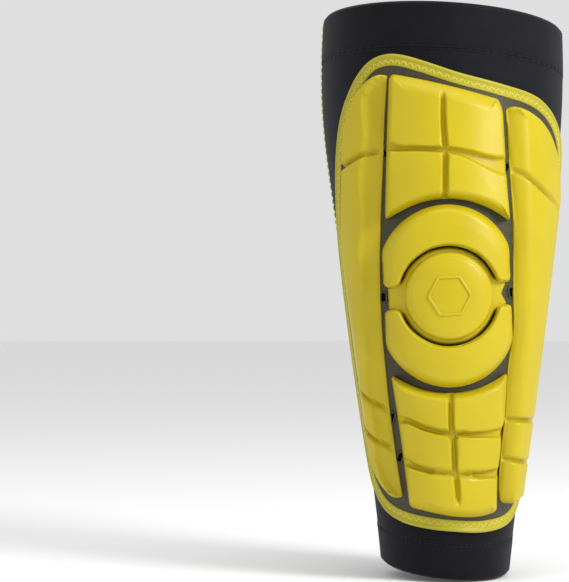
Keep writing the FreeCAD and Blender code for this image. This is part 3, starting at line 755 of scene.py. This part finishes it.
sheetShell, sheetCloth = baseShell()
basePiece = makePiece("padBaseSheet", sheetShell, baseCloth, None, sheetCloth)
front0 = onFacing(0)
cutters = []
for x, z, lean in vents:
    loop = slotLoop(x, z, lean, 1.05, 1.1)
    outer, inner = front0(loop, 4.0), front0(loop, -3.0)
    n = len(loop)
    sides = gridFaces(2, n, False, True)
    cutters.append((np.concatenate([inner, outer]), sides + [list(range(n))[::-1], list(range(n, 2 * n))]))
cutter = makePiece("ventCutter", joined(cutters), baseCloth, None)
hole = basePiece.modifiers.new("vents", "BOOLEAN")
hole.operation, hole.solver, hole.object = "DIFFERENCE", "EXACT", cutter
cutMesh = bpy.data.meshes.new_from_object(basePiece.evaluated_get(bpy.context.evaluated_depsgraph_get()))
basePiece.modifiers.clear()
basePiece.data = cutMesh
bpy.data.objects.remove(cutter)
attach(basePiece, "front")
standsFor("pad_base_sheet")

eyelets = []
for x, z, lean in vents:
    rows = [(slotLoop(x, z, lean, 1.35 + 0.5 * math.cos(k), 1.1), 0.95 + 0.5 * math.sin(k))
            for k in np.linspace(0, 2 * math.pi, 8, endpoint=False)]
    eyelets.append(tubeLoop(rows, front0))
eyeletPiece = makePiece("ventRims", joined(eyelets), baseCloth, "front",
                        np.concatenate([p[:, [0, 2]] for p, f in eyelets]))
print("base sheet", len(cutMesh.polygons), "faces")

ring = {"x": -1.5, "z": 129.0, "turn": 2.8, "disc": 19.7, "inner": 22.6, "outer": 30.7, "lift": 10.3,
        "side": 28.6,
        "gap": 5.0, "clear": 43.6}


def ringArc(x0, x1, count, sign, bevel):
    # points of the free circle round the ring, from x0 to x1
    x = np.linspace(x0, x1, count)
    return [(float(a), float(ring["z"] + sign * math.sqrt(ring["clear"] ** 2 - (a - ring["x"]) ** 2)),
             *bevel) for a in x]


def bevelled(bevel, points):
    # outline rows whose sides all have the same bevel
    return [(*point, *bevel) for point in points]


centre = {"top": 8.4, "foot": 0.8, "foam": 1.9, "radius": 3.0}
wing = {"top": 7.4, "foot": 0.8, "foam": 2.2, "radius": 3.5}
# every outline row: across, height, then width and drop of the bevel on the side that starts there
brow, cheek, throat = (6.6, 4.8), (1.7, 3.4), (3.8, 5.4)
upperBody = [(-27.6, 229.9, *brow), (-4.7, 224.8, *brow), (21.6, 218.0, 2.6, 3.8), (23.6, 213.2, *cheek),
             (24.6, 194, *cheek), (25.3, 178, *cheek)] + ringArc(26.8, -29.6, 11, 1, throat)[:-1] \
    + [(-29.6, 162.9, *cheek), (-28.8, 196, *cheek)]
upperGrooves = [
    [(-4.0, 221.5, 0, 0.7), (-3.9, 217.5, 2.6, 1.0), (-3.9, 208.3, 3.2, 1.1), (-3.3, 197.5, 3.2, 1.1),
     (-3.0, 190.4, 3.2, 1.1), (-3.4, 169, 3.4, 1.1)],
    [(-33, 196.3, 3.8, 2.2), (-27.5, 196.1, 3.6, 1.8), (-23.3, 195.2, 3.2, 1.2), (-16.3, 195.1, 3.2, 1.1),
     (-3.2, 194.4, 3.2, 1.1)],
    [(-3.2, 194.4, 3.2, 1.3), (3.5, 193.5, 3.2, 1.5), (8.5, 192.0, 3.3, 1.9), (15.0, 189.4, 3.4, 2.5),
     (19.3, 188.0, 3.6, 3.1), (23.0, 187.4, 3.8, 3.7), (28, 187, 4.2, 4.2)],
]
lowerBody = ringArc(-26.9, 25.6, 11, -1, throat) + [
    (24.6, 74, *cheek), (22.6, 68, *cheek), (22.7, 60, *cheek), (21.2, 49.6, *cheek), (21.0, 42, *cheek),
    (20.9, 31.2, 4.0, 4.6), (12.3, 29.2, 4.0, 4.6), (1.5, 29.6, 4.0, 4.6), (-9.2, 31.6, 4.0, 4.6),
    (-18.4, 33.6, *cheek), (-20.9, 53, *cheek), (-23.5, 72, *cheek)]
lowerGrooves = [
    [(-0.9, 90, 3.4, 1.1), (-0.9, 84.4, 3.2, 1.1), (-0.6, 70.2, 3.2, 1.1), (0.6, 65.2, 3.2, 1.1),
     (1.1, 51.6, 3.2, 1.1),
     (2.0, 45.9, 3.2, 1.1), (2.6, 38.5, 2.4, 1.0), (2.9, 34.5, 0, 0.7)],
    [(-29, 74.8, 3.8, 2.0), (-24.1, 73.7, 3.6, 1.7), (-19.2, 73.0, 3.2, 1.2), (-12.9, 69.9, 3.2, 1.1),
     (-5.9, 68.0, 3.2, 1.1), (1.2, 67.3, 3.2, 1.1), (8.3, 66.9, 3.2, 1.1), (15.6, 67.0, 3.3, 1.3),
     (20.0, 67.3, 3.6, 1.8), (27, 67.8, 3.8, 2.2)],
    [(-27, 56.6, 3.8, 2.0), (-21.9, 55.1, 3.6, 1.7), (-16.3, 52.3, 3.2, 1.2), (-9.3, 50.3, 3.2, 1.1),
     (-2.3, 49.3, 3.2, 1.1), (2.7, 49.2, 3.2, 1.1), (12.1, 48.8, 3.3, 1.2), (19.5, 49.1, 3.6, 1.8),
     (26, 49.5, 3.8, 2.2)],
]
scoop, saddle, rimDrop = (7.4, 5.6), (5.2, 5.4), (2.4, 3.0)
medialBody = bevelled(rimDrop, [(8.0, 229.8), (3.0, 228.9), (-3.9, 224.8), (-10.0, 217.1), (-13.6, 208.6),
                                (-15.0, 199.5), (-15.1, 186), (-16.0, 158), (-16.6, 134), (-16.4, 112),
                                (-13.8, 93.0), (-11.2, 80), (-7.8, 69.4), (-3.4, 54.2), (2.4, 44.0),
                                (9.2, 38.1)]) \
    + [(14.6, 37.1, *scoop), (13.2, 48, *scoop), (12.1, 60, *saddle), (10.9, 76, *scoop),
       (10.2, 96, *saddle), (9.6, 110, *scoop), (9.4, 125, *saddle), (9.3, 142, *scoop), (9.0, 158, *saddle),
       (8.9, 173, *scoop), (8.4, 194, *saddle), (7.6, 210, *scoop)]
medialGrooves = [
    [(-20, 185.0, 3.2, 0.9), (-9.1, 189.1, 3.0, 0.9), (-0.7, 192.4, 3.0, 0.9), (7.0, 194.6, 2.6, 0.9),
     (12, 196, 2.2, 0.9)],
    [(-18, 91.0, 3.2, 0.9), (-12.8, 91.2, 3.0, 0.9), (-4.7, 86.2, 3.0, 0.9), (5.4, 80.0, 2.8, 0.9),
     (14, 75, 2.4, 0.9)],
    [(-13, 72.5, 3.2, 0.9), (-2.2, 67.6, 3.0, 0.9), (7.6, 62.2, 2.8, 0.9), (16, 56.2, 2.4, 0.9)],
]
slope = (5.6, 5.2)
lateralBody = bevelled(rimDrop, [(-12.4, 215.6), (-3.7, 213.4), (4.5, 209.0), (11.0, 203.0), (16.2, 195.8),
                                 (19.4, 187.9), (20.8, 178), (22.0, 165), (22.6, 150), (21.4, 128),
                                 (17.6, 96.3), (14.4, 73), (12.9, 54.4), (10.8, 47.2), (5.9, 41.4),
                                 (-1.5, 36.2), (-7.7, 34.4)]) \
    + bevelled(slope, [(-12.3, 35.4), (-14.2, 40.0), (-15.0, 56), (-14.7, 73), (-15.0, 88), (-15.1, 98),
                       (-13.4, 111), (-14.4, 127), (-14.1, 148), (-13.2, 170), (-12.9, 190)])
lateralGrooves = [
    [(-18, 188.2, 2.4, 0.9), (-11.6, 185.2, 2.8, 0.9), (-5.9, 181.0, 3.0, 0.9), (1.0, 176.9, 3.0, 0.9),
     (8.1, 173.4, 2.4, 0.9), (16, 169.6, 1.2, 0.8), (24, 166, 0.4, 0.8)],
    [(-20, 73.4, 2.6, 0.9), (-9, 72.6, 3.0, 0.9), (3, 72.3, 3.0, 0.9), (18, 72.2, 2.4, 0.9)],
    [(-20, 56.6, 2.6, 0.9), (-8.2, 53.9, 3.0, 0.9), (2, 53.4, 3.0, 0.9), (16, 53.0, 2.4, 0.9)],
]


def sideLimit(facing):
    # at parameter t of the ellipse a point h above it stays inside the sleeve's outline if h < (a + r) /
    # sin t - a
    def limit(flat):
        angle = facingAngle(flat[:, 0], flat[:, 1], 3.0, facing)
        a = halfAt(flat[:, 1])
        return np.maximum((a + 0.8) / np.abs(np.sin(angle)) - a, 2.1)
    return limit


upperTiles = {
    "medial_top": [(-27.2, 229.6), (-5.6, 224.8), (-5.2, 206), (-4.9, 197.6), (-28.6, 198.6)],
    "lateral_top": [(-2.2, 223.8), (21.0, 217.8), (23.2, 212.5), (23.8, 192.2), (18.6, 192.2), (8.6, 195.4),
                    (-1.5, 197)],
    "medial_low": [(-28.8, 192.8), (-4.6, 192.6), (-4.4, 172.6), (-16, 170.8), (-28.4, 163.6)],
    "lateral_low": [(-1.5, 191.4), (8.5, 188.4), (18.2, 184.2), (24.6, 182.2), (25.8, 163.8), (14.0, 169.8),
                    (-1.9, 172.8)],
}
lowerTiles = {
    "medial_top": [(-26.2, 92.4), (-14, 87.2), (-2.2, 85.4), (-2.0, 70), (-12.9, 72.4), (-23.4, 76.2)],
    "lateral_top": [(0.6, 85.4), (12, 87.4), (25.0, 93.6), (23.6, 70.6), (1.6, 69.4)],
    "medial_mid": [(-23.0, 70.8), (-12.9, 67.6), (-1.6, 65.4), (-0.4, 52), (-9.3, 52.6), (-20.7, 57.4)],
    "lateral_mid": [(2.2, 65.2), (21.6, 65.4), (21.0, 51.6), (2.9, 51.0)],
    "medial_low": [(-20.3, 52.2), (-9.3, 48.2), (0.0, 47.4), (1.1, 31.0), (-9, 32.6), (-17.9, 34.4)],
    "lateral_low": [(3.2, 47.2), (20.4, 47.4), (20.4, 32), (12, 30.2), (3.8, 30.4)],
}
medialTiles = {
    "top": [(7.0, 228.8), (3.0, 227.9), (-3.2, 223.9), (-9.2, 216.5), (-12.7, 208.4), (-14.1, 199.5),
            (-14.2, 189.4),
            (-0.7, 194.4), (7.0, 196.6)],
    "long": [(-14.3, 185.2), (-0.7, 190.4), (7.2, 192.6), (7.9, 158), (8.4, 127), (8.7, 105), (9.4, 79.6),
             (-4.7, 88.2),
             (-13.0, 93.4), (-15.5, 112), (-15.7, 134), (-15.1, 158)],
    "mid": [(-12.2, 89.2), (-4.7, 84.2), (9.8, 75.4), (11.0, 62.2), (-2.2, 69.6), (-8.0, 72.8), (-10.2, 80)],
    "low": [(-7.0, 68.0), (-2.2, 65.6), (11.3, 57.6), (13.2, 38.4), (9.3, 39.2), (3.0, 44.8), (-2.7, 54.5)],
}
lateralTiles = {
    "top": [(-11.6, 214.4), (-3.7, 212.4), (4.1, 208.1), (10.3, 202.2), (15.4, 195.2), (18.5, 187.6),
            (19.8, 178),
            (19.9, 170.0), (8.1, 175.4), (-5.9, 183), (-12.0, 187.2), (-12.5, 198)],
    "long": [(-12.2, 183.2), (-5.9, 179.0), (1, 174.9), (8.1, 171.4), (20.8, 165.2), (21.6, 150),
             (20.4, 128), (16.7, 96.3),
             (13.4, 74.3), (-13.6, 74.6), (-14.2, 88), (-14.3, 98), (-12.6, 111), (-13.6, 127), (-13.3, 148)],
    "mid": [(-13.8, 71.6), (13.3, 70.2), (12.1, 55.4), (-8.2, 56.0), (-14.1, 57.6)],
    "low": [(-14.0, 53.8), (11.1, 50.8), (10.0, 47.6), (5.5, 42.4), (-1.5, 37.2), (-7.4, 35.4),
            (-11.6, 36.4), (-13.2, 40.2)],
}
fanShares = np.concatenate([np.linspace(0, 0.7, 20)[1:], np.linspace(0.7, 0.985, 34)[1:]])
rungShares = 0.5 - 0.5 * np.cos(np.linspace(0, math.pi, 44)[1:-1])


def makeBlock(name, body, grooves, tiles, facing, level, fan, power=1.0):
    # one moulded skin and a foam piece under each raised part; both follow the same height field
    onto = onFacing(facing)
    outline = padOutline(body, level["radius"])
    height = padField(outline, level["top"], grooves, power, limit=None if fan else sideLimit(facing))
    loop = outline[0] if fan else twoSided(outline[0], (0, 1), 0.8)
    shares = fanShares if fan else rungShares
    skin = makePiece(name + "Skin", fieldShell(loop, onto, height, level["foot"], shares, fan), padFilm)
    standsFor(blockNodes[name] + "_skin")
    for tag, corners in tiles.items():
        ends, _ = counterClockwise(corners, np.zeros((len(corners), 1)))
        foamLoop = outlineSamples(drawnIn(ends, np.full(len(ends), 1.6)), 2.0, 12, 8)[0]
        foam = makePiece("%sFoam_%s" % (name, tag),
                         fieldShell(twoSided(foamLoop, (0, 1), 1.5), onto,
                                    lambda flat: height(flat) - level["foam"],
                                    1.05, np.linspace(0, 1, 16)[1:-1], thin=0.1), foamCore)
        standsFor("%s_foam_%s" % (blockNodes[name], tag))


blockNodes = {"upperBlock": "upper_block", "lowerBlock": "lower_block", "medialWing": "medial_wing",
              "lateralWing": "lateral_wing"}
makeBlock("upperBlock", upperBody, upperGrooves, upperTiles, 0, centre, True)
makeBlock("lowerBlock", lowerBody, lowerGrooves, lowerTiles, 0, centre, True)
makeBlock("medialWing", medialBody, medialGrooves, medialTiles, -52, wing, False, 1.8)
makeBlock("lateralWing", lateralBody, lateralGrooves, lateralTiles, 52, wing, False)
print("blocks and wings")


def aroundRing(flat):
    # ring coordinates (centred, turned) to facing coordinates
    c, s = math.cos(math.radians(ring["turn"])), math.sin(math.radians(ring["turn"]))
    return np.stack([ring["x"] + flat[..., 0] * c - flat[..., 1] * s,
                     ring["z"] + flat[..., 0] * s + flat[..., 1] * c], -1)


def onRing(flat, over):
    # ring coordinates onto the leg form
    return facingPoint(aroundRing(flat), over, 0)


def crescentRows(sign):
    # right foot, up the short end, along the outer arc about a lifted centre, down the left end, back
    # along the inner
    side, gap = ring["side"], ring["gap"]
    turnA = math.acos(side / ring["outer"])
    outer = arcPoints(ring["outer"], turnA, math.pi - turnA, 14, ring["lift"])
    turnB = math.asin(gap / ring["inner"])
    inner = arcPoints(ring["inner"], math.pi - turnB, turnB, 12)
    rim, lip = (3.6, 4.6), (1.8, 3.0)
    rows = [(side, gap, *rim)] + [(*p, *rim) for p in outer] + [(-side, gap, *lip)] + [(*p,
                                                                                        *lip) for p in inner]
    return [(x, sign * y, w, d) for x, y, w, d in rows]


def circleTile(radius, top, foot, crown, inset=0.0):
    # a round tile: profile rows turned about the middle
    turn = np.linspace(0, 2 * math.pi, 128, endpoint=False)
    unit = np.stack([np.cos(turn), np.sin(turn)], 1)
    profile = [(radius, foot), (radius - 0.15, top - 2.4), (radius - 0.35, top - 1.5),
               (radius - 0.8, top - 0.75),
               (radius - 1.4, top - 0.35), (radius - 2.0, top - 0.25), (radius - 2.35, top - 0.28),
               (radius - 2.7, top - 0.12), (radius - 3.2, top), (radius * 0.6, top + crown * 0.6),
               (radius * 0.3, top + crown * 0.9)]
    flat = np.stack([unit * (r - inset) for r, h in profile])
    level = np.repeat([[h] for r, h in profile], len(turn), 1)
    points = [onRing(flat, level).reshape(-1, 3), onRing(np.zeros((1, 2)), np.array([top + crown])),
              onRing(np.zeros((1, 2)), np.array([foot]))]
    n, rows = len(turn), len(profile)
    faces = gridFaces(rows, n, False, True)
    ringTop = (rows - 1) * n + np.arange(n)
    faces += [[int(a), int(b), rows * n] for a, b in zip(ringTop, np.roll(ringTop, -1))]
    low = np.arange(n)
    faces += [[int(b), int(a), rows * n + 1] for a, b in zip(low, np.roll(low, -1))]
    return np.concatenate(points), faces


neck = {"end": 26.6, "half": 5.2, "dish": 2.6, "hole": 22.0, "turn": 0.35}
neckRows = [(neck["end"], -neck["half"]), (neck["end"] - neck["dish"], 0), (neck["end"], neck["half"])] \
    + arcPoints(neck["hole"], neck["turn"], math.pi - neck["turn"], 9) \
    + [(-neck["end"], neck["half"]), (-neck["end"], -neck["half"])] \
    + arcPoints(neck["hole"], math.pi + neck["turn"], 2 * math.pi - neck["turn"], 9)
neckOutline = padOutline([(x, y, 1.6, 1.8) for x, y in neckRows], 1.6)
ringShells = [fieldShell(neckOutline[0], onRing, padField(neckOutline, 4.0, [], crown=0.0), 0.8, fanShares,
                         True),
              circleTile(ring["disc"], 8.0, 0.8, 0.3)]
crescentShares = 0.5 - 0.5 * np.cos(np.linspace(0, math.pi, 36)[1:-1])
for tag, sign in (("upper", 1), ("lower", -1)):
    outline = padOutline(crescentRows(sign), 3.6)
    height = padField(outline, 8.4, [], crown=0.35)
    ringShells.append(fieldShell(twoSided(outline[0], (1, 0), 0.7), onRing, height, 0.8, crescentShares))
    ends, _ = counterClockwise([row[:2] for row in crescentRows(sign)], np.zeros((28, 1)))
    foamLoop = outlineSamples(drawnIn(ends, np.full(len(ends), 0.9)), 2.6, 8, 6)[0]
    foam = makePiece("ringFoam_crescent_" + tag,
                     fieldShell(twoSided(foamLoop, (1, 0), 1.5), onRing, lambda flat: height(flat) - 1.2,
                                1.05,
                                np.linspace(0, 1, 14)[1:-1], thin=0.1), foamCore)
    standsFor("ring_foam_crescent_" + tag)
discFoam = makePiece("ringFoam_disc", circleTile(ring["disc"], 7.1, 1.05, 0.1, inset=1.0), foamCore)
standsFor("ring_foam_disc")

# plain raised hexagon on the disc
hexagon = {"reach": 10.4, "level": 8.25, "corner": 1.6,
           "profile": ((0.0, -0.4), (0.05, 0.15), (0.35, 0.42), (0.75, 0.48), (1.15, 0.42), (1.45, 0.15),
                       (1.5, -0.4))}  # step inwards, rise
hexCorners = [(hexagon["reach"] * math.cos(a), hexagon["reach"] * math.sin(a))
              for a in np.arange(6) * math.pi / 3]
rows = []
for step, rise in hexagon["profile"]:
    hexIn = drawnIn(hexCorners, np.full(6, step))
    loop = outlineSamples(hexIn, hexagon["corner"] - 0.4 * step, 10, 6)[0]
    rows.append((loop, hexagon["level"] + rise))
ringShells.append(tubeLoop(rows, onRing))
ringSkin = makePiece("ringSkin", joined(ringShells), padFilm)
standsFor("ring_skin")
print("ring")

studio = {"distance": 1.3, "aside": -0.075, "eye": 0.1312, "lens": 172.6, "floor": 0.92, "reach": 6000.0,
          "air": 0.74}
floorMaterial, _, floorShader = newMaterial("paleFloor", (studio["floor"],) * 3, 0.8)
floorShader.inputs["Specular IOR Level"].default_value = 0.1
floorGrid = np.linspace(-studio["reach"], studio["reach"], 9)
floorPoints = np.stack(np.broadcast_arrays(floorGrid[None], floorGrid[:, None], -0.6), -1)
floor = makePiece("paleFloor", (floorPoints.reshape(-1, 3), gridFaces(9, 9, False, False)), floorMaterial,
                  None)


def softbox(name, place, target, size, power):
    # a rectangular lamp turned towards its target
    light = bpy.data.lights.new(name, "AREA")
    light.shape, light.size, light.size_y = "RECTANGLE", size[0], size[1]
    light.energy = power
    lamp = bpy.data.objects.new(name, light)
    lamp.location = place
    lamp.rotation_euler = (Vector(target) - Vector(place)).to_track_quat("-Z", "Y").to_euler()
    bpy.context.scene.collection.objects.link(lamp)
    return lamp


middle = (0, 0, 0.13)
lamps = {"keyBox": ((0.95, -0.85, 0.85), (0.45, 0.55), 16), "fillBox": ((-0.9, -0.8, 0.45), (0.6, 0.8), 0.6),
         "topBox": ((0.05, -0.25, 1.2), (0.9, 0.7), 3.5)}  # place, size, watts
for name, (place, size, power) in lamps.items():
    softbox(name, place, middle, size, power)
bpy.context.scene.view_settings.view_transform = "Standard"
world = bpy.data.worlds.new("studioAir")
world.use_nodes = True
world.node_tree.nodes["Background"].inputs["Color"].default_value = (1, 1, 1, 1)
world.node_tree.nodes["Background"].inputs["Strength"].default_value = studio["air"]
bpy.context.scene.world = world

eye = bpy.data.cameras.new("eye")
eye.lens, eye.sensor_width = studio["lens"], 36
eyeObject = bpy.data.objects.new("eye", eye)
eyeObject.location = (studio["aside"], -studio["distance"], studio["eye"])
eyeObject.rotation_euler = (math.pi / 2, 0, 0)
bpy.context.scene.collection.objects.link(eyeObject)
bpy.context.scene.camera = eyeObject
print("studio")
